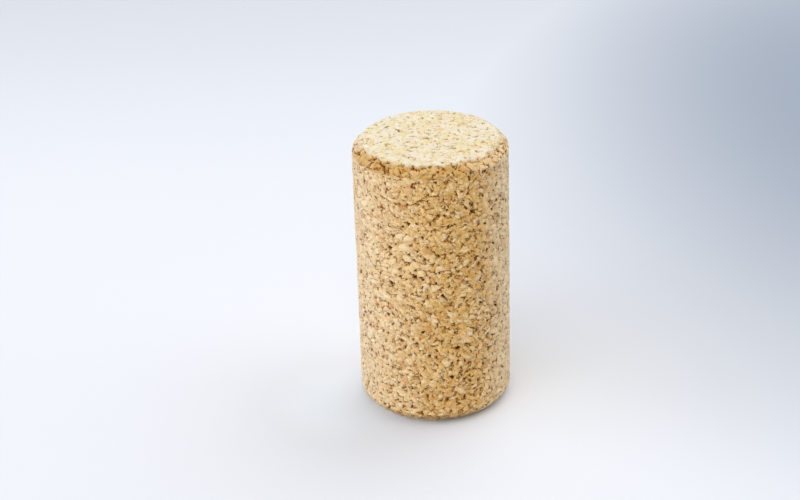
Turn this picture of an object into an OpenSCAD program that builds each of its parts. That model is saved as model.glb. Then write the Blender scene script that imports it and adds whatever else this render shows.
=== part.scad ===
// Cork stopper: a straight cylinder pressed from bonded cork granules and ground to size.
// Both ends carry the same eased chamfer, so the stopper goes into a neck either way up.
// The part stands on its lower end, with its axis on Z and its origin at the centre of that end.

/* [Stopper] */
// Diameter of the straight wall, before the stopper is squeezed into a neck
stopper_d = 24; // [18:0.5:32]
// Overall length, from end face to end face
stopper_l = 44; // [30:0.5:60]

/* [Ends] */
// How far each chamfer steps in from the wall
chamfer_in = 1.5; // [0.8:0.1:3]
// How far each chamfer runs along the wall
chamfer_run = 1.5; // [0.8:0.1:3]
// Radius that eases the edge between an end face and its chamfer
face_edge_r = 0.4; // [0.1:0.05:0.6]
// Radius that eases the edge between a chamfer and the wall
wall_edge_r = 0.6; // [0.1:0.05:0.8]

/* [Pores] */
// Distance from one open pore to the next
pore_pitch = 3; // [2.5:0.1:6]
// Depth of the shallowest pores
pore_least = 0.15; // [0.1:0.05:0.3]
// Depth of the deepest pores
pore_most = 0.45; // [0.3:0.05:0.6]
// How far a pore may lean from square to the surface, in degrees: the more it leans, the longer it is
pore_lean = 28; // [0:1:30]

/* [Hidden] */

cork_colour = [0.79, 0.65, 0.45];

// Straight steps in each eased edge, and sides to the full turn
ease_steps = 6;
turn_sides = 128;

wall_r = stopper_d / 2;
face_r = wall_r - chamfer_in;
wall_l = stopper_l - 2 * chamfer_run;

// A block stood on its corner, with its edges this far from upright, and large enough to cut any pore
corner_slope = atan(sqrt(2));
pore_block = 4 * pore_most;

// Pores on the wall and on each end, and the turn from each pore to the next that spreads them evenly
wall_pore_count = round(PI * stopper_d * wall_l / pow(pore_pitch, 2));
end_pore_count = round(PI * pow(face_r / pore_pitch, 2));
golden_turn = 180 * (3 - sqrt(5));
stray_seed = 7;

// The chamfer's slope from the end face, and how far each eased edge reaches along its two sides
chamfer_slope = atan2(chamfer_run, chamfer_in);
face_edge_reach = face_edge_r * tan(chamfer_slope / 2);
wall_edge_reach = wall_edge_r * tan((90 - chamfer_slope) / 2);

// Points along an eased edge: an arc from one outward direction to another
function eased_edge(centre, radius, from, to) = [
    for (step = [0:ease_steps])
        let (angle = from + (to - from) * step / ease_steps)
            centre + radius * [cos(angle), sin(angle)]
];

// The lower end of the half section, from the axis out to the straight wall
lower_end = concat(
    [[0, 0]],
    eased_edge([face_r - face_edge_reach, face_edge_r], face_edge_r, -90, chamfer_slope - 90),
    eased_edge([wall_r - wall_edge_r, chamfer_run + wall_edge_reach], wall_edge_r, chamfer_slope - 90, 0)
);

// The upper end is the lower one turned over, from the wall back to the axis
upper_end = [
    for (i = [len(lower_end) - 1:-1:0])
        [lower_end[i].x, stopper_l - lower_end[i].y]
];

// What an open pore takes out of a surface that faces up Z, where a granule broke away: the corner of
// a block, sunk in by its own depth, turn and lean, which come from its number
module pore(number) {
    chance = rands(0, 1, 3, number);
    depth = pore_least + (pore_most - pore_least) * pow(chance[0], 2);
    lean = pore_lean * (2 * chance[1] - 1);
    rotate([0, 0, 360 * chance[2]])
        translate([0, 0, -depth])
            rotate([0, lean - corner_slope, 0])
                rotate([0, 0, -45])
                    cube(pore_block);
}

// Pores up the straight wall: each is about a golden turn on from the one below it, and strays by up to
// a pitch to either side
module wall_pores() {
    strays = rands(-1, 1, wall_pore_count, stray_seed);
    for (i = [0:wall_pore_count - 1])
        rotate([0, 0, golden_turn * i + strays[i] * pore_pitch / wall_r * 180 / PI])
            translate([wall_r, 0, chamfer_run + wall_l * (i + 0.5) / wall_pore_count])
                rotate([0, 90, 0])
                    pore(i);
}

// Pores over an end face that looks up Z, spread like the seeds in a sunflower and straying as on the wall
module end_pores(first) {
    strays = rands(-0.5, 0.5, 2 * end_pore_count, stray_seed + first);
    for (i = [0:end_pore_count - 1])
        translate(pore_pitch * [strays[2 * i], strays[2 * i + 1], 0])
            rotate([0, 0, golden_turn * i])
                translate([(face_r - pore_pitch / 2) * sqrt((i + 0.5) / end_pore_count), 0, 0])
                    pore(first + i);
}

// The whole stopper: turned from its half section, with pores open all over it
module cork_stopper() {
    color(cork_colour)
        difference() {
            rotate_extrude($fn = turn_sides)
                polygon(concat(lower_end, upper_end));
            wall_pores();
            translate([0, 0, stopper_l])
                end_pores(wall_pore_count);
            mirror([0, 0, 1])
                end_pores(wall_pore_count + end_pore_count);
        }
}

cork_stopper();
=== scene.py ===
import math

import bpy
import numpy as np
from mathutils import Matrix, Vector
from mathutils.bvhtree import BVHTree
from mathutils.geometry import delaunay_2d_cdt


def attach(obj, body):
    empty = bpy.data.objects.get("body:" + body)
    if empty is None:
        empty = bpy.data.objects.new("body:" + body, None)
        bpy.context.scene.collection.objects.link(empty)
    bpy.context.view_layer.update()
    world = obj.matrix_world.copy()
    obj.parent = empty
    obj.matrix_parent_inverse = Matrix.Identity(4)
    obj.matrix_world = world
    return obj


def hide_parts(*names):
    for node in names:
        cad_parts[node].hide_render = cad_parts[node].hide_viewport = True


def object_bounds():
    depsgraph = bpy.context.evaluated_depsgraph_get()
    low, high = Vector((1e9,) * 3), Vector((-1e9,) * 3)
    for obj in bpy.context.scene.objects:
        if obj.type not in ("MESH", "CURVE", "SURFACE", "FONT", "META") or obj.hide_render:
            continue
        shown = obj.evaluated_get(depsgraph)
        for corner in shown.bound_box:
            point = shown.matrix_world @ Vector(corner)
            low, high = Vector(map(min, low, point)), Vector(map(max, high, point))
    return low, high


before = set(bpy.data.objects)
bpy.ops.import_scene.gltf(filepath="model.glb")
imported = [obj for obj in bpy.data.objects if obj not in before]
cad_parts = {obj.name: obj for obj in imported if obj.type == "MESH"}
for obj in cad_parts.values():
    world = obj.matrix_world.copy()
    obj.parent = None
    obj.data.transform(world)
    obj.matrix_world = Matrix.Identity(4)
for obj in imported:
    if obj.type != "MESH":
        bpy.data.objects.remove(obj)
cad_low, cad_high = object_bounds()

# Lengths in the cork's patterns and relief are in millimetres, and all others are in metres
MM = 0.001
NODE = "cork_stopper"
STOPPER_H = cad_high.z
STOPPER_R = cad_high.x

# Mesh of the visual piece: the spacing of its points, coarser on the base, and how many steps the points
# inside an end keep from its ring
MESH_STEP = 0.205 * MM
BASE_STEP = 0.28 * MM
RING_CLEARANCE = 0.6
# The map: where across it the middles of the base and the top lie, and how many radii above the wall
UV_MAP = "OFBake"
END_MIDDLES = (0.25, 0.75)
END_RISE = 1.1
# What the mesh's points carry for the material
REST_PLACE = "rest_place"
PORE = "pore"

# How far off the surface to look for the solid's pores, and how far its flat sides may lie under the round
# surface that they stand for, in millimetres
PORE_REACH = 1.0 * MM
FLAT_ERROR = 0.01

# The photograph's frame in pixels, and the camera that was fitted to the stopper's outline in it
IMAGE_W, IMAGE_H = 800, 500
FOCAL_PX = 1862.6
AIM_PX = (433.1, 265.5)
CAMERA_DISTANCE = 0.2924
CAMERA_ELEVATION = 27.34
CAMERA_ROLL = 1.47
CAMERA_CLIP = (0.01, 50.0)
SENSOR_W = 36.0

# Granules: the clumps that they lie in, how far a clump turns and the random colour that leaves it
# unturned, the sizes of whole granules, of crumbs and of fibres, and how flat granules and fibres are
CLUMP = 3.0
CLUMP_TURN = 1.4
CLUMP_LIE = (0.5, 0.72, 0.5)
GRANULE_LEAST, GRANULE_MOST = 0.85, 1.65
FLATNESS = 1.7
CRUMB = 0.6
CRUMB_SHARE = 0.25
FIBRE = 1.0
FIBRE_FLATNESS = 3.2
# Noise that bends the granules and noise that makes them ragged: its size, and how far it pushes
BEND = (1.6, 0.35)
RAG = (0.3, 0.13)
# How far apart in their patterns the granules of unlike clumps, and the fibres of unlike granules, are taken
CLUMP_APART = 40.0
FIBRE_APART = 30.0
# Sizes of the fine cells in a granule and of the wall's slow waves, and the detail of the finer noises
CELL = 0.2
WAVE = 7.0
FINE_DETAIL = 1.0

# Places on the cork, with left, right and back as in the photograph: each fades in from the first
# millimetre to the second
LEFT_SIDE = (3.0, -12.0)
LEFT_RIM = (-8.5, -11.5)
RIGHT_SIDE = (2.0, 10.0)
RIGHT_RIM = (6.0, 11.5)
BACK_SIDE = (-6.0, 1.0)
# Places counted from the nearer end: its ground face, its chamfer, and the chipped edge between them, which
# fades in and then out. The face's and the chamfer's limits stray with the slack and with each granule's
# drop, which is how far it lies under the rest
FACE_FADE = (0.5, 0.0)
CHAMFER_FADE = (2.1, 1.5)
CHIP_FADE_IN = (0.02, 0.2)
CHIP_FADE_OUT = (0.7, 0.3)
SLACK_STRAY = 0.9
DROP_STRAY = 0.2

# Slack, from 0 to 1, is how loosely granules meet: the size and detail of its noise, how far it spreads
# about a half, and how much looser or tighter granules are at some places
SLACK = 0.7
SLACK_DETAIL = 2.0
SLACK_SPREAD = 0.8
LOW_SIDE_LOOSER = 0.12
# Looser on the wall's right and tighter on its left side and right rim are painted shade and light: more
# dark seams where light grazes, fewer where it falls full
RIGHT_LOOSER = 0.02
FACE_TIGHTER = 0.02
LEFT_TIGHTER = 0.02
RIM_TIGHTER = 0.05
# Seams and pits: the slack over which they open, and their half widths when shut and when open
SEAM_OPENS, SEAM_WIDTHS = (0.42, 0.66), (-0.15, 0.072)
PIT_OPENS, PIT_WIDTHS = (0.62, 0.78), (-0.08, 0.2)
# The slack over which fibres split and edges chip, and the fibre noise over which they split
SPLIT_OPENS = (0.45, 0.6)
SPLIT_FIBRES = (0.39, 0.28)
CHIP_OPENS = (0.48, 0.66)
# How rounding fades away from a granule's edge, how painted shade, seams and pits fade away from an opening,
# and how the solid's pores darken with their depth, as painted shade
ROUND_FADE = (0.3, -0.1)
SHADE_FADE = (0.17, -0.02)
SEAM_FADE = (0.04, -0.05)
PIT_FADE = (0.03, -0.05)
PORE_FADE = (0.04, 0.26)

# Relief: its depth to start from, what each property of the cork adds to it, how deep chips are, what is
# ground off, and the share of it that is left on a ground face
RELIEF_START = 0.07
RELIEF = {"drop": 0.1, "round": 0.2, "fibre": -0.1, "tilt": 0.2, "seam": 0.1, "wave": 0.06, "pit": 0.4}
CHIP_DEPTH = 0.18
GROUND_OFF = 0.1
FACE_RELIEF = 0.3


def srgb(red, green, blue):
    """A colour from 0 to 255, as it looks, turned into the linear colour that nodes take."""
    shares = [channel / 255 for channel in (red, green, blue)]
    linear = [s / 12.92 if s <= 0.04045 else ((s + 0.055) / 1.055) ** 2.4 for s in shares]
    return (*linear, 1.0)


# A granule's tone, from 0 to 1: the least that chance gives, and the shares of chance, fibres and fine cells
TONE_LEAST = 0.33
TONE_CHANCE = 0.55
TONE_FIBRE = 1.1
TONE_FINE = 0.7
CORK_TONES = [
    (0.00, srgb(184, 118, 40)),
    (0.25, srgb(220, 164, 80)),
    (0.55, srgb(241, 192, 115)),
    (0.80, srgb(253, 210, 143)),
    (1.00, srgb(255, 228, 182)),
]
# Painted light, as a paler cork colour: its share where a place counts fully, and how much the rims and the
# back count
PAINTED_LIGHT_CORK = srgb(250, 236, 204)
PAINTED_LIGHT_SHARE = 0.35
LEFT_RIM_PAINTED_LIGHT = 0.25
RIGHT_RIM_PAINTED_LIGHT = 1.3
BACK_PAINTED_LIGHT = 1.7
# Darker chamfers, by painted shade over a somewhat darker cork, and ground faces with some yellower
# granules, which are chosen by their hue
CHAMFER_CORK_AND_SHADE = srgb(192, 147, 76)
CHAMFER_SHADE_SHARE = 0.5
# Ground faces are pale as ground cork, and paler still by a painted highlight
GROUND_CORK_PAINTED_HIGHLIGHT = srgb(226, 223, 206)
GROUND_YELLOW = srgb(222, 212, 166)
GROUND_SHARE = 0.8
YELLOW_HUES = (0.4, 0.85)
# A few granules of bark, chosen by their hue: their shares on the wall and on a ground face
BARK = srgb(206, 132, 62)
BARK_HUES = (0.92, 0.97)
BARK_SHARES = (0.5, 0.15)
# What darkens the cork, from the widest in: painted shade beside the seams, then the seams and pits, which
# are dark joints with painted shade in them. Their shares, and their colours, on the wall and on a ground
# face
SEAMS_AND_PAINTED_SHADE = {
    "shade": ((0.7, 0.2), (srgb(182, 112, 22), srgb(196, 172, 104))),
    "seam": ((0.95, 0.24), (srgb(104, 50, 0), srgb(112, 90, 36))),
    "pit": ((1.0, 0.4), (srgb(92, 46, 2), srgb(112, 90, 36))),
}

# Finish of the cork: its roughness and what the fine cells add, its shine and its sheen, and its bump
ROUGH_LEAST = 0.45
ROUGH_FINE = 0.2
SPECULAR = 0.05
SHEEN = 0.6
SHEEN_ROUGHNESS = 0.3
BUMP_ROUND = -0.8
BUMP_DEPTH = 0.14 * MM

# Floor: its size, the hole in it, and how far under the base it lies
FLOOR_R = 8.0
FLOOR_HOLE_R = STOPPER_R - 1.7 * MM
FLOOR_SIDES = 64
FLOOR_DROP = 0.03 * MM
FLOOR_ROUGHNESS = 0.9
FLOOR_SPECULAR = 0.1
FLOOR_PALE = srgb(226, 228, 232)
FLOOR_SHADE = srgb(154, 163, 176)
FLOOR_GLOW = srgb(236, 244, 250)
# The floor is shaded about a place behind on the right, whose depth counts for less than its width, and a
# little all along the back
SHADE_MIDDLE = (0.1, 0.11, 0.0)
SHADE_SQUEEZE = (1.0, 0.55, 1.0)
FLOOR_SHADE_FADE = (0.115, 0.015)
DUSK_FADE = (0.05, 0.25)
DUSK_SHARE = 0.42
# Painted light beside the foot, where the shadow falls, makes the floor paler there
GLOW_MIDDLE = (-0.0135, -0.004, 0.0)
GLOW_FADE = (0.015, 0.002)
GLOW_SHARE = 0.8

# Light of the world, and of the lamps. Each lamp has, in degrees, the way round that it shines from, with
# 90 on the right, its elevation and how wide it looks, and then its strength and its colour
WORLD_LIGHT = 0.05
WHITE = (1.0, 1.0, 1.0)
COOL = (0.92, 1.0, 1.2)
LAMPS = {
    "left_light": (-80, 12, 70, 1.85, COOL),
    "right_light": (120, 45, 80, 1.75, WHITE),
    "front_light": (-25, 45, 50, 1.16, WHITE),
    "back_light": (170, 50, 80, 0.6, WHITE),
    "top_light": (0, 85, 90, 0.6, WHITE),
    "base_light": (0, -90, 20, 2.2, WHITE),
}


class Nodes:
    """Adds nodes to a tree and joins them up. Shader trees and geometry trees take the same ones."""

    def __init__(self, tree):
        self.tree = tree

    def put(self, value, socket):
        """Joins an output to a socket, or sets a plain value on it."""
        if isinstance(value, bpy.types.NodeSocket):
            self.tree.links.new(value, socket)
        else:
            socket.default_value = value

    def add(self, kind, settings, inputs):
        node = self.tree.nodes.new(kind)
        for name, value in settings.items():
            setattr(node, name, value)
        for name, value in inputs.items():
            self.put(value, node.inputs[name])
        return node

    def math(self, operation, *values):
        node = self.add("ShaderNodeMath", {"operation": operation}, dict(enumerate(values)))
        return node.outputs["Value"]

    def from_half(self, value, share, base):
        """A share of how far a value lies from a half, added to a base."""
        return self.math("MULTIPLY_ADD", self.math("SUBTRACT", value, 0.5), share, base)

    def vector(self, operation, *values):
        node = self.add("ShaderNodeVectorMath", {"operation": operation}, {})
        slots = [s for s in node.inputs if s.name == "Vector"]
        for socket, value in zip(slots, values):
            self.put(value, socket)
        return node.outputs["Value" if operation in ("DOT_PRODUCT", "LENGTH") else "Vector"]

    def scaled(self, vector, factor):
        node = self.add("ShaderNodeVectorMath", {"operation": "SCALE"}, {"Scale": factor})
        self.put(vector, node.inputs["Vector"])
        return node.outputs["Vector"]

    def turned(self, vector, turns):
        node = self.add("ShaderNodeVectorRotate", {"rotation_type": "EULER_XYZ"}, {"Rotation": turns})
        self.put(vector, node.inputs["Vector"])
        return node.outputs["Vector"]

    def split(self, vector):
        node = self.add("ShaderNodeSeparateXYZ", {}, {"Vector": vector})
        return node.outputs["X"], node.outputs["Y"], node.outputs["Z"]

    def rise(self, value, low, high):
        """Goes smoothly from 0 at low to 1 at high, also where low is the larger."""
        span = {"Value": value, "From Min": low, "From Max": high}
        node = self.add("ShaderNodeMapRange", {"interpolation_type": "SMOOTHSTEP"}, span)
        return node.outputs["Result"]

    def mix(self, factor, first, second):
        node = self.add("ShaderNodeMix", {"data_type": "FLOAT"}, {0: factor, 2: first, 3: second})
        return node.outputs[0]

    def mix_vector(self, factor, first, second):
        node = self.add("ShaderNodeMix", {"data_type": "VECTOR"}, {0: factor, 4: first, 5: second})
        return node.outputs[1]

    def mix_colour(self, factor, first, second):
        node = self.add("ShaderNodeMix", {"data_type": "RGBA"}, {0: factor, 6: first, 7: second})
        return node.outputs[2]

    def noise(self, point, size, detail=0.0, output="Fac"):
        inputs = {"Vector": point, "Scale": 1 / size, "Detail": detail}
        return self.add("ShaderNodeTexNoise", {}, inputs).outputs[output]

    def centred(self, random):
        """A random colour as a direction: its channels, counted from their middle."""
        return self.vector("SUBTRACT", random, (0.5, 0.5, 0.5))

    def bent(self, point, size, by):
        """The point, pushed about by noise of that size."""
        push = self.centred(self.noise(point, size, output="Color"))
        return self.vector("ADD", point, self.scaled(push, 2 * by))

    def cells(self, point, size):
        """The cell that a point is in: its random colour, its middle, and the distance to its edge."""
        inputs = {"Vector": point, "Scale": self.math("DIVIDE", 1.0, size)}
        cell = self.add("ShaderNodeTexVoronoi", {}, inputs)
        rim = self.add("ShaderNodeTexVoronoi", {"feature": "DISTANCE_TO_EDGE"}, inputs)
        edge = self.math("MULTIPLY", rim.outputs["Distance"], size)
        return cell.outputs["Color"], cell.outputs["Position"], edge


def cork_field(nodes, point, pore):
    """What the cork is like at a point in millimetres, where the solid has a pore of that depth or none.

    The relief and the colours are both made from it."""
    field = {
        "pore": pore,
        "slack": nodes.noise(point, SLACK, SLACK_DETAIL),
        "fine": nodes.noise(point, CELL, FINE_DETAIL),
        "wave": nodes.noise(point, WAVE),
    }
    add_granules(nodes, field, point)
    add_places(nodes, field, point)
    add_openings(nodes, field)
    return field


def add_granules(nodes, field, point):
    """Granules lie in small clumps. Each clump has its own lie and size, and some granules are crumbs."""
    ragged = nodes.bent(nodes.bent(point, *BEND), *RAG)
    clump_random, clump_middle, clump_edge = nodes.cells(ragged, CLUMP)
    lie = nodes.scaled(nodes.vector("SUBTRACT", clump_random, CLUMP_LIE), CLUMP_TURN)
    turned = nodes.turned(nodes.vector("SUBTRACT", ragged, clump_middle), lie)
    flat = nodes.vector("MULTIPLY", turned, (1.0, 1.0, FLATNESS))
    apart = nodes.vector("ADD", flat, nodes.scaled(clump_random, CLUMP_APART))
    size = nodes.mix(nodes.split(clump_random)[0], GRANULE_LEAST, GRANULE_MOST)
    whole_random, whole_middle, whole_edge = nodes.cells(apart, size)
    crumb_random, _, crumb_edge = nodes.cells(ragged, CRUMB)
    broken = nodes.math("LESS_THAN", nodes.split(whole_random)[0], CRUMB_SHARE)
    random = nodes.mix_vector(broken, whole_random, crumb_random)
    field["tone"], field["hue"], field["drop"] = nodes.split(random)
    whole_edge = nodes.math("MINIMUM", whole_edge, clump_edge)
    field["edge"] = nodes.mix(broken, whole_edge, nodes.math("MINIMUM", whole_edge, crumb_edge))

    # Each granule's face leans its own way, so it has a low side and a high one, which count as 1 and -1
    lean = nodes.centred(random)
    from_middle = nodes.vector("SUBTRACT", apart, whole_middle)
    field["tilt"] = nodes.vector("DOT_PRODUCT", from_middle, lean)
    outwards = nodes.vector("NORMALIZE", from_middle)
    field["low_side"] = nodes.vector("DOT_PRODUCT", outwards, nodes.vector("NORMALIZE", lean))

    # Fibres run along the lie of the clump
    drawn = nodes.vector("MULTIPLY", turned, (1.0, 1.0, FIBRE_FLATNESS))
    drawn = nodes.vector("ADD", drawn, nodes.scaled(random, FIBRE_APART))
    field["fibre"] = nodes.noise(drawn, FIBRE, FINE_DETAIL)


def add_places(nodes, field, point):
    """Which side of the stopper a point is on, and whether it is on a ground face, a chamfer or a chip."""
    across, back, height = nodes.split(point)
    field["left"] = nodes.rise(across, *LEFT_SIDE)
    field["left_rim"] = nodes.rise(across, *LEFT_RIM)
    field["right"] = nodes.rise(across, *RIGHT_SIDE)
    field["right_rim"] = nodes.rise(across, *RIGHT_RIM)
    field["back"] = nodes.rise(back, *BACK_SIDE)

    # The ground faces at both ends meet the chamfers beside them in a ragged line
    from_end = nodes.math("MINIMUM", height, nodes.math("SUBTRACT", STOPPER_H / MM, height))
    stray = nodes.from_half(field["slack"], SLACK_STRAY, from_end)
    stray = nodes.math("MULTIPLY_ADD", field["drop"], DROP_STRAY, stray)
    field["face"] = nodes.rise(stray, *FACE_FADE)
    field["chamfer"] = nodes.math("SUBTRACT", nodes.rise(stray, *CHAMFER_FADE), field["face"])
    near_edge = nodes.math(
        "MULTIPLY", nodes.rise(from_end, *CHIP_FADE_IN), nodes.rise(from_end, *CHIP_FADE_OUT)
    )
    field["chip"] = nodes.math("MULTIPLY", near_edge, nodes.rise(field["slack"], *CHIP_OPENS))


def add_openings(nodes, field):
    """Granules meet in seams that open here and there, with pits where they don't meet at all."""
    # They are loosest along each granule's low side, looser on the right and on the chamfers, and tighter on
    # the ground faces and on the wall's left side and right rim. On the wall's sides this is painted shade
    # and light:
    # more dark seams on the right, where light grazes, and fewer on the left side and right rim, where it
    # falls full
    slack = nodes.from_half(field["slack"], SLACK_SPREAD, 0.5)
    slack = nodes.math("MULTIPLY_ADD", field["low_side"], LOW_SIDE_LOOSER, slack)
    loose = nodes.mix(field["right"], field["chamfer"], 1.0)
    slack = nodes.math("MULTIPLY_ADD", loose, RIGHT_LOOSER, slack)
    slack = nodes.math("MULTIPLY_ADD", field["face"], -FACE_TIGHTER, slack)
    tight = nodes.math("MULTIPLY", field["left"], LEFT_TIGHTER)
    tight = nodes.math("MULTIPLY_ADD", field["right_rim"], RIM_TIGHTER, tight)
    at_end = nodes.math("MAXIMUM", field["chamfer"], field["face"])
    slack = nodes.math("SUBTRACT", slack, nodes.mix(at_end, tight, 0.0))

    # The seams, with painted shade and splits along the fibres beside them
    seam_width = nodes.mix(nodes.rise(slack, *SEAM_OPENS), *SEAM_WIDTHS)
    from_seam = nodes.math("SUBTRACT", field["edge"], seam_width)
    field["round"] = nodes.rise(field["edge"], *ROUND_FADE)
    field["shade"] = nodes.rise(from_seam, *SHADE_FADE)
    split = nodes.math(
        "MULTIPLY", nodes.rise(field["fibre"], *SPLIT_FIBRES), nodes.rise(slack, *SPLIT_OPENS)
    )
    field["seam"] = nodes.math("MAXIMUM", nodes.rise(from_seam, *SEAM_FADE), split)

    # The pits, and the solid's own pores among them, which darken with depth as painted shade
    pit_width = nodes.mix(nodes.rise(slack, *PIT_OPENS), *PIT_WIDTHS)
    from_pit = nodes.math("SUBTRACT", field["edge"], pit_width)
    field["pit"] = nodes.math(
        "MAXIMUM", nodes.rise(from_pit, *PIT_FADE), nodes.rise(field["pore"], *PORE_FADE)
    )


def relief_depth(nodes, field):
    """How far the surface lies under the ground size, in millimetres."""
    depth = RELIEF_START
    for name, share in RELIEF.items():
        depth = nodes.math("MULTIPLY_ADD", field[name], share, depth)
    # A ground face is flatter than the wall, and its edge is chipped
    depth = nodes.math("MULTIPLY", depth, nodes.mix(field["face"], 1.0, FACE_RELIEF))
    depth = nodes.math("MULTIPLY_ADD", field["chip"], CHIP_DEPTH, depth)
    # What stood prouder than the rest was ground off flush, and pores are as deep as in the solid
    return nodes.math("MAXIMUM", nodes.math("SUBTRACT", depth, GROUND_OFF), field["pore"])


def relief_tree():
    """Geometry nodes that keep each point's place in the solid and then sink it into the surface."""
    tree = bpy.data.node_groups.new("cork_relief", "GeometryNodeTree")
    for way in ("INPUT", "OUTPUT"):
        tree.interface.new_socket("Geometry", in_out=way, socket_type="NodeSocketGeometry")
    nodes = Nodes(tree)
    source = nodes.add("NodeGroupInput", {}, {}).outputs["Geometry"]
    place = nodes.add("GeometryNodeInputPosition", {}, {}).outputs["Position"]
    normal = nodes.add("GeometryNodeInputNormal", {}, {}).outputs["Normal"]
    point = nodes.scaled(place, 1 / MM)
    pore = nodes.add("GeometryNodeInputNamedAttribute", {"data_type": "FLOAT"}, {"Name": PORE})
    depth = relief_depth(nodes, cork_field(nodes, point, pore.outputs["Attribute"]))
    sink = nodes.scaled(normal, nodes.math("MULTIPLY", depth, -MM))
    kept = nodes.add(
        "GeometryNodeStoreNamedAttribute",
        {"data_type": "FLOAT_VECTOR", "domain": "POINT"},
        {"Geometry": source, "Name": REST_PLACE},
    )
    nodes.put(place, next(s for s in kept.inputs if s.name == "Value" and s.enabled))
    moved = nodes.add(
        "GeometryNodeSetPosition", {}, {"Geometry": kept.outputs["Geometry"], "Offset": sink}
    )
    nodes.add("NodeGroupOutput", {}, {"Geometry": moved.outputs["Geometry"]})
    return tree


def is_dent(below, middle, above):
    """Whether the middle one of three points up an outline doesn't stand out from the other two's line."""
    rise = above[0] - below[0]
    return (middle[1] - below[1]) * rise <= (above[1] - below[1]) * (middle[0] - below[0])


def outline(node, step):
    """Radii and heights up the stopper's outline, from the base's rim to the top's, about a step apart.

    The third list is how far along the outline each of them is. The outline bulges everywhere, so what lies
    inside of it belongs to a pore."""
    corners = [(v.co.z, math.hypot(v.co.x, v.co.y)) for v in node.data.vertices]
    bulge = []
    for height, radius in sorted(corners):
        while len(bulge) > 1 and is_dent(bulge[-2], bulge[-1], (height, radius)):
            bulge.pop()
        bulge.append((height, radius))
    heights, widths = np.array(bulge[1:]).T
    along = np.concatenate([[0], np.cumsum(np.hypot(np.diff(widths), np.diff(heights)))])
    samples = np.linspace(0, along[-1], round(along[-1] / step) + 1)
    return np.interp(samples, along, widths), np.interp(samples, along, heights), samples


def pore_depths(node, mesh):
    """How deep the solid's pores are under each point of a mesh that lies on its surface, in millimetres."""
    corners = [v.co for v in node.data.vertices]
    solid = BVHTree.FromPolygons(corners, [tuple(f.vertices) for f in node.data.polygons])
    depths = []
    for vertex in mesh.vertices:
        above = vertex.co + vertex.normal * PORE_REACH
        under = solid.ray_cast(above, -vertex.normal, 2 * PORE_REACH)[3]
        depths.append(((under or PORE_REACH) - PORE_REACH) / MM)
    return np.maximum(np.array(depths, np.float32) - FLAT_ERROR, 0.0)


def disc_points(radius, step):
    """Points of a triangular lattice that lie inside a circle."""
    pitch = step * math.sqrt(3) / 2
    reach = math.ceil(radius / pitch)
    points = []
    for row in range(-reach, reach + 1):
        for column in range(-reach, reach + 1):
            x = (column + row % 2 / 2) * step
            y = row * pitch
            if math.hypot(x, y) < radius:
                points.append((x, y))
    return points


def filled_ring(ring, step):
    """Fills a ring with even triangles. Gives all their points, the ring's own first, and the triangles."""
    inner = [Vector(p) for p in disc_points(ring[0].length - RING_CLEARANCE * step, step)]
    filled = delaunay_2d_cdt(ring + inner, [], [], 0, 0.0)
    return filled[0], filled[2]


def wall_faces(columns, up):
    """Faces of the wall and chamfers, and their corners' places on the map, unrolled over its full width."""
    faces = []
    places = []
    for row in range(len(up) - 1):
        low, high = row * columns, (row + 1) * columns
        for column in range(columns):
            after = (column + 1) % columns
            faces.append((low + column, low + after, high + after, high + column))
            left, right = column / columns, (column + 1) / columns
            places += [(left, up[row]), (right, up[row]), (right, up[row + 1]), (left, up[row + 1])]
    return faces, places


def cork_mesh():
    """The stopper's ground surface as an even mesh, with a map that has the wall under the two ends."""
    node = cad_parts[NODE]
    radii, heights, along = outline(node, MESH_STEP)
    girth = 2 * math.pi * STOPPER_R
    columns = round(girth / MESH_STEP)
    turns = np.arange(columns) * 2 * math.pi / columns
    across = np.stack([np.cos(turns), np.sin(turns)], axis=1)
    points = [(radius * x, radius * y, height) for radius, height in zip(radii, heights) for x, y in across]
    up = along / girth
    faces, places = wall_faces(columns, up)

    # The two ends, side by side on the map, with the base turned to look down
    rim = radii[0] / girth
    for end, (row, step) in enumerate([(0, BASE_STEP), (len(radii) - 1, MESH_STEP)]):
        flat, triangles = filled_ring([Vector(p) for p in across * radii[row]], step)
        last = len(points) + len(flat) - columns
        numbers = [*range(row * columns, (row + 1) * columns), *range(len(points), last)]
        points += [(p.x, p.y, heights[row]) for p in flat[columns:]]
        middle = Vector((END_MIDDLES[end], up[-1] + END_RISE * rim))
        for triangle in triangles:
            corners = list(triangle if end else reversed(triangle))
            faces.append(tuple(numbers[i] for i in corners))
            places += [tuple(middle + flat[i] * rim / radii[row]) for i in corners]

    mesh = bpy.data.meshes.new("bonded_cork")
    mesh.from_pydata(points, [], faces)
    mesh.uv_layers.new(name=UV_MAP).uv.foreach_set("vector", np.array(places, np.float32).ravel())
    mesh.attributes.new(PORE, "FLOAT", "POINT").data.foreach_set("value", pore_depths(node, mesh))
    mesh.shade_smooth()
    return mesh


def granule_colour(nodes, field):
    """A granule's own tan, with some of its fibres and of the fine cells in it."""
    tone = nodes.math("MULTIPLY_ADD", field["tone"], TONE_CHANCE, TONE_LEAST)
    tone = nodes.from_half(field["fibre"], TONE_FIBRE, tone)
    tone = nodes.from_half(field["fine"], TONE_FINE, tone)
    ramp = nodes.add("ShaderNodeValToRGB", {}, {"Fac": tone})
    stops = ramp.color_ramp.elements
    for at, _ in CORK_TONES[1:-1]:
        stops.new(at)
    for stop, (at, colour) in zip(stops, CORK_TONES):
        stop.position = at
        stop.color = colour
    return ramp.outputs["Color"]


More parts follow.
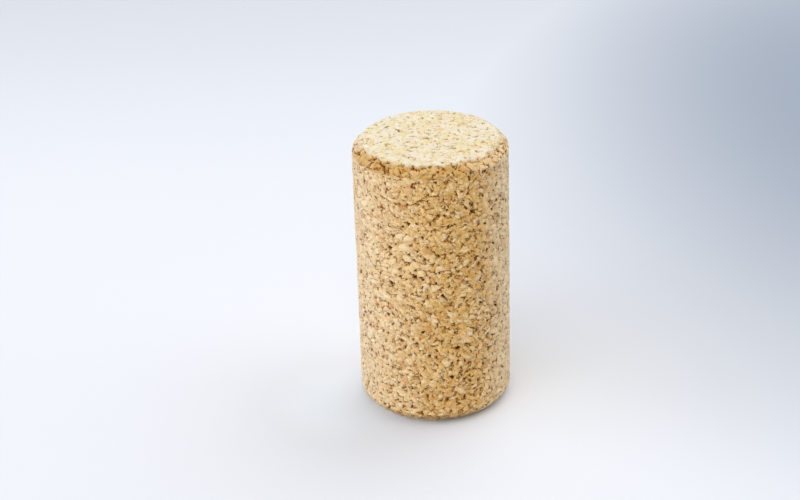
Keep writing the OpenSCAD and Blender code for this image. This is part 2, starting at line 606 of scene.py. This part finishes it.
def cork_colour(nodes, field):
    """Granules of many tans, with pale ground faces, a few of bark, and dark seams and pits between them.
    The colour also holds painted light and shade: on the wall's sides and rims, on the chamfers, as a
    highlight on the ground faces, and in and beside the seams and pits.
    """
    # Painted light makes the wall paler on its left side and at both rims, and a chamfer paler on the right
    # and at the back.
    # Elsewhere a chamfer is darker, by painted shade over a somewhat darker cork
    wall_painted_light = nodes.math("MULTIPLY_ADD", field["left_rim"], LEFT_RIM_PAINTED_LIGHT, field["left"])
    rim_painted_light = nodes.math("MULTIPLY", field["right_rim"], RIGHT_RIM_PAINTED_LIGHT)
    wall_painted_light = nodes.math("MAXIMUM", wall_painted_light, rim_painted_light)
    back_painted_light = nodes.math("MULTIPLY", field["back"], BACK_PAINTED_LIGHT)
    chamfer_painted_light = nodes.math("MAXIMUM", field["right"], back_painted_light)
    pale = nodes.math("MULTIPLY", nodes.mix(field["chamfer"], wall_painted_light, chamfer_painted_light), PAINTED_LIGHT_SHARE)
    colour = nodes.mix_colour(pale, granule_colour(nodes, field), PAINTED_LIGHT_CORK)
    # Away from the right and the back, painted shade over a somewhat darker cork darkens a chamfer
    dark = nodes.mix(nodes.math("MAXIMUM", field["right"], field["back"]), CHAMFER_SHADE_SHARE, 0.0)
    colour = nodes.mix_colour(nodes.math("MULTIPLY", field["chamfer"], dark), colour, CHAMFER_CORK_AND_SHADE)

    # The ground faces' pale colour is partly ground cork and partly a painted highlight
    ground = nodes.mix_colour(nodes.rise(field["hue"], *YELLOW_HUES), GROUND_CORK_PAINTED_HIGHLIGHT, GROUND_YELLOW)
    colour = nodes.mix_colour(nodes.math("MULTIPLY", field["face"], GROUND_SHARE), colour, ground)
    bark = nodes.math(
        "MULTIPLY", nodes.rise(field["hue"], *BARK_HUES), nodes.mix(field["face"], *BARK_SHARES)
    )
    colour = nodes.mix_colour(bark, colour, BARK)
    for name, (shares, colours) in SEAMS_AND_PAINTED_SHADE.items():
        share = nodes.math("MULTIPLY", field[name], nodes.mix(field["face"], *shares))
        colour = nodes.mix_colour(share, colour, nodes.mix_colour(field["face"], *colours))
    return colour


def cork_material():
    """Bonded cork: matte, with a soft sheen that its seams and pits lack."""
    material = bpy.data.materials.new("bonded_cork")
    material.use_nodes = True
    tree = material.node_tree
    nodes = Nodes(tree)
    shader = tree.nodes["Principled BSDF"]
    place = nodes.add("ShaderNodeAttribute", {"attribute_name": REST_PLACE}, {}).outputs["Vector"]
    point = nodes.scaled(place, 1 / MM)
    pore = nodes.add("ShaderNodeAttribute", {"attribute_name": PORE}, {}).outputs["Fac"]
    field = cork_field(nodes, point, pore)
    nodes.put(cork_colour(nodes, field), shader.inputs["Base Color"])

    rough = nodes.math("MULTIPLY_ADD", field["fine"], ROUGH_FINE, ROUGH_LEAST)
    nodes.put(nodes.math("MAXIMUM", rough, field["seam"]), shader.inputs["Roughness"])
    shader.inputs["Specular IOR Level"].default_value = SPECULAR
    hollow = nodes.math("MAXIMUM", field["seam"], field["pit"])
    nodes.put(nodes.mix(hollow, SHEEN, 0.0), shader.inputs["Sheen Weight"])
    shader.inputs["Sheen Roughness"].default_value = SHEEN_ROUGHNESS

    # The bump adds what is too fine for the mesh, and is flatter on a ground face
    height = nodes.math("ADD", field["fine"], field["fibre"])
    height = nodes.math("MULTIPLY_ADD", field["round"], BUMP_ROUND, height)
    height = nodes.math("MULTIPLY", height, nodes.mix(field["face"], 1.0, FACE_RELIEF))
    bump = nodes.add("ShaderNodeBump", {}, {"Height": height, "Strength": 1.0, "Distance": BUMP_DEPTH})
    nodes.put(bump.outputs["Normal"], shader.inputs["Normal"])
    return material


def build_cork():
    """The visual piece that stands for the CAD solid."""
    cork = bpy.data.objects.new("bonded_cork", cork_mesh())
    bpy.context.scene.collection.objects.link(cork)
    relief = cork.modifiers.new("relief", "NODES")
    relief.node_group = relief_tree()
    graph = bpy.context.evaluated_depsgraph_get()
    sunk = bpy.data.meshes.new_from_object(
        cork.evaluated_get(graph), preserve_all_data_layers=True, depsgraph=graph
    )
    cork.modifiers.clear()
    cork.data = sunk
    cork.data.materials.append(cork_material())
    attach(cork, "root")
    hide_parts(NODE)


def floor_material():
    """Pale matte floor with painted shade that fades it to a blue-grey behind and to the right, and painted
    light beside the foot. From below it is seen through.
    """
    material = bpy.data.materials.new("pale_floor")
    material.use_nodes = True
    tree = material.node_tree
    nodes = Nodes(tree)
    shader = tree.nodes["Principled BSDF"]
    shader.inputs["Roughness"].default_value = FLOOR_ROUGHNESS
    shader.inputs["Specular IOR Level"].default_value = FLOOR_SPECULAR
    surface = nodes.add("ShaderNodeNewGeometry", {}, {})
    place = surface.outputs["Position"]

    from_shade = nodes.vector("MULTIPLY", nodes.vector("SUBTRACT", place, SHADE_MIDDLE), SHADE_SQUEEZE)
    shade = nodes.rise(nodes.vector("LENGTH", from_shade), *FLOOR_SHADE_FADE)
    dusk = nodes.math("MULTIPLY", nodes.rise(nodes.split(place)[1], *DUSK_FADE), DUSK_SHARE)
    colour = nodes.mix_colour(nodes.math("MAXIMUM", dusk, shade), FLOOR_PALE, FLOOR_SHADE)
    from_glow = nodes.vector("LENGTH", nodes.vector("SUBTRACT", place, GLOW_MIDDLE))
    glow = nodes.math("MULTIPLY", nodes.rise(from_glow, *GLOW_FADE), GLOW_SHARE)
    nodes.put(nodes.mix_colour(glow, colour, FLOOR_GLOW), shader.inputs["Base Color"])

    clear = nodes.add("ShaderNodeBsdfTransparent", {}, {})
    sides = nodes.add("ShaderNodeMixShader", {}, {"Fac": surface.outputs["Backfacing"]})
    tree.links.new(shader.outputs["BSDF"], sides.inputs[1])
    tree.links.new(clear.outputs["BSDF"], sides.inputs[2])
    tree.links.new(sides.outputs["Shader"], tree.nodes["Material Output"].inputs["Surface"])
    return material


def build_floor():
    """A wide floor, open only under the stopper, so that its base is lit when it is seen from below."""
    mesh = bpy.data.meshes.new("floor")
    points = []
    for radius in (FLOOR_HOLE_R, FLOOR_R):
        for side in range(FLOOR_SIDES):
            turn = 2 * math.pi * side / FLOOR_SIDES
            points.append((radius * math.cos(turn), radius * math.sin(turn), -FLOOR_DROP))
    faces = []
    for side in range(FLOOR_SIDES):
        after = (side + 1) % FLOOR_SIDES
        faces.append((side, FLOOR_SIDES + side, FLOOR_SIDES + after, after))
    mesh.from_pydata(points, [], faces)
    mesh.materials.append(floor_material())
    floor = bpy.data.objects.new("floor", mesh)
    bpy.context.scene.collection.objects.link(floor)


def outward(round_way, elevation):
    """The direction that lies so many degrees round from the camera's side, and so many up."""
    turn, rise = math.radians(round_way), math.radians(elevation)
    return Vector((math.sin(turn) * math.cos(rise), -math.cos(turn) * math.cos(rise), math.sin(rise)))


def build_world():
    """An even dim light. Where the world shows, it has the floor's own colour instead."""
    world = bpy.data.worlds.new("studio")
    world.use_nodes = True
    tree = world.node_tree
    nodes = Nodes(tree)
    lit = tree.nodes["Background"]
    lit.inputs["Color"].default_value = (*WHITE, 1.0)
    lit.inputs["Strength"].default_value = WORLD_LIGHT
    seen = nodes.add("ShaderNodeBackground", {}, {"Color": FLOOR_PALE, "Strength": 1.0})
    path = nodes.add("ShaderNodeLightPath", {}, {})
    shown = nodes.math("MAXIMUM", path.outputs["Is Camera Ray"], path.outputs["Is Glossy Ray"])
    shown = nodes.math("MAXIMUM", shown, path.outputs["Is Transmission Ray"])
    either = nodes.add("ShaderNodeMixShader", {}, {"Fac": shown})
    tree.links.new(lit.outputs["Background"], either.inputs[1])
    tree.links.new(seen.outputs["Background"], either.inputs[2])
    tree.links.new(either.outputs["Shader"], tree.nodes["World Output"].inputs["Surface"])
    bpy.context.scene.world = world


def build_lamps():
    """Soft lamps all round, and one under the floor that shines through its hole at the base."""
    for name, (round_way, elevation, width, strength, colour) in LAMPS.items():
        lamp = bpy.data.lights.new(name, "SUN")
        lamp.color = colour
        lamp.angle = math.radians(width)
        lamp.energy = strength
        stand = bpy.data.objects.new(name, lamp)
        stand.rotation_euler = outward(round_way, elevation).to_track_quat("Z", "Y").to_euler()
        bpy.context.scene.collection.objects.link(stand)


def build_camera():
    """The photograph's camera: it looks past the stopper's middle, so that the middle falls on AIM_PX."""
    data = bpy.data.cameras.new("camera")
    data.sensor_width = SENSOR_W
    data.lens = FOCAL_PX / IMAGE_W * SENSOR_W
    data.clip_start, data.clip_end = CAMERA_CLIP
    back = outward(0.0, CAMERA_ELEVATION)
    middle = Vector((0.0, 0.0, STOPPER_H / 2))
    pan = math.atan((AIM_PX[0] - IMAGE_W / 2) / FOCAL_PX)
    tilt = math.atan((AIM_PX[1] - IMAGE_H / 2) / FOCAL_PX)
    facing = (-back).to_track_quat("-Z", "Y").to_matrix()
    turned = Matrix.Rotation(-math.radians(CAMERA_ROLL), 3, "Z")
    aimed = Matrix.Rotation(pan, 3, "Y") @ Matrix.Rotation(tilt, 3, "X")
    camera = bpy.data.objects.new("camera", data)
    camera.matrix_world = Matrix.Translation(middle + back * CAMERA_DISTANCE) @ (
        facing @ turned @ aimed
    ).to_4x4()
    bpy.context.scene.collection.objects.link(camera)
    bpy.context.scene.camera = camera


build_camera()
build_cork()
build_floor()
build_world()
build_lamps()
bpy.context.scene.view_settings.view_transform = "Standard"
